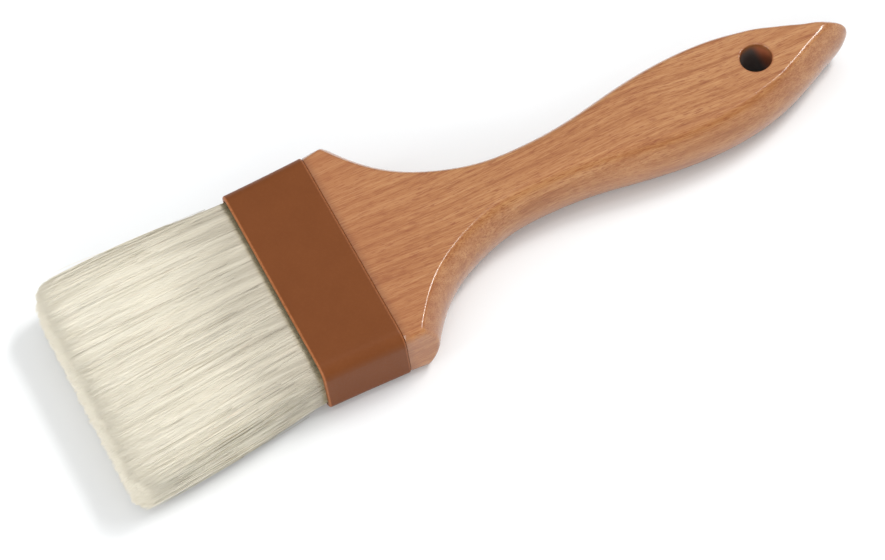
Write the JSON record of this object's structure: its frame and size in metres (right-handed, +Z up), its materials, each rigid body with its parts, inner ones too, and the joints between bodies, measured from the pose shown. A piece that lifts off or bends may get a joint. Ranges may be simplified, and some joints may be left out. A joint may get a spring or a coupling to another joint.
{
  "type": "flat brush",
  "caption": "Flat brush with a shaped wooden handle with a hanging hole, a moulded ferrule, and pale natural bristle that flexes at the ferrule's mouth.",
  "frame": {"origin": "under the middle of the brush's length and width, on the surface that the ferrule's flat side rests on", "axes": "+X along the brush from the bristle tips to the handle's tip, +Y across its width, +Z up through its thickness"},
  "size_m": [0.2637, 0.0786, 0.023],
  "materials": {
    "beech": "clear satin lacquer over reddish tan beech",
    "ferrule_plastic": "smooth satin brown",
    "resin": "cured amber resin",
    "spacer_wood": "bare softwood",
    "bristle": "bleached natural bristle"
  },
  "bodies": {
    "handle_and_ferrule": {"handle": "beech", "ferrule": "ferrule_plastic", "setting_resin": "resin", "spacer_strip": "spacer_wood", "upper_butts": "bristle", "lower_butts": "bristle"},
    "free_bristle": {"upper_bristle": "bristle", "lower_bristle": "bristle"}
  },
  "joints": [
    {"name": "bristle_flex", "type": "hinge", "parent": "handle_and_ferrule", "child": "free_bristle", "pos_m": [-0.06804, 0, 0.0115], "axis": [0, 1, 0], "range_deg": [-30, 30], "stiffness_Nm_per_rad": 1}
  ]
}
